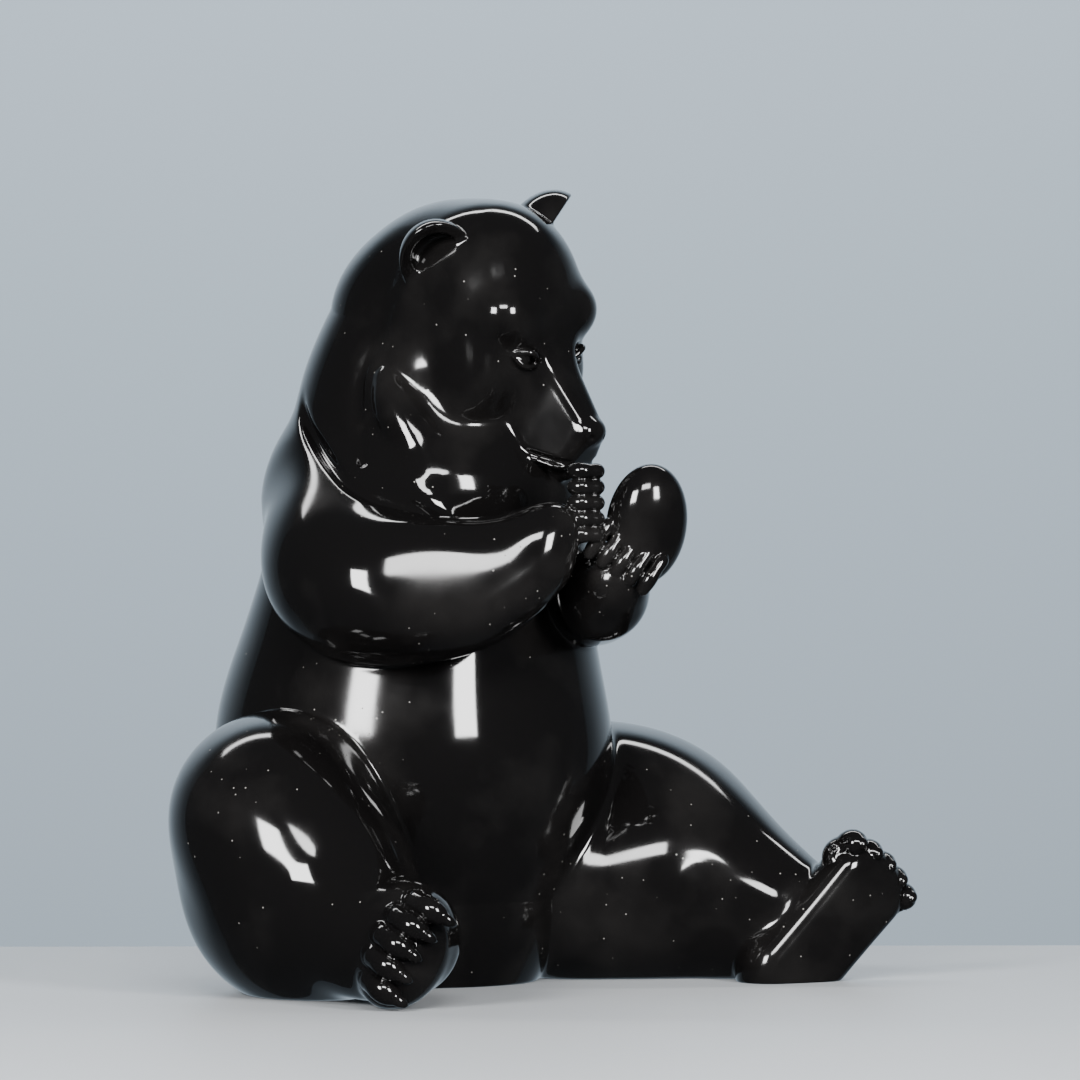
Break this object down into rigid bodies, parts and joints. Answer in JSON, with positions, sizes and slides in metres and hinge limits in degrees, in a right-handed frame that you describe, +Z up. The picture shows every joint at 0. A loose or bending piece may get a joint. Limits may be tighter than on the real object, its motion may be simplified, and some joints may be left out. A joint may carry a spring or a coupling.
{
  "type": "seated bear figurine",
  "caption": "Glossy black seated bear figurine that holds a rounded lump to its mouth with both front paws; a one-piece tabletop ornament that stands on its flat underside.",
  "frame": {"origin": "on the flat underside, below the middle of the body between the hips", "axes": "+Z up; the bear faces -Y; +X is the bear's own left side"},
  "size_m": [0.2639, 0.2108, 0.2948],
  "materials": {
    "black_lacquer": "deep black mirror-gloss lacquer over a cast body, with fine dust specks and faint hairline scratches"
  },
  "bodies": {
    "root": {"bear": "black_lacquer"}
  },
  "joints": []
}
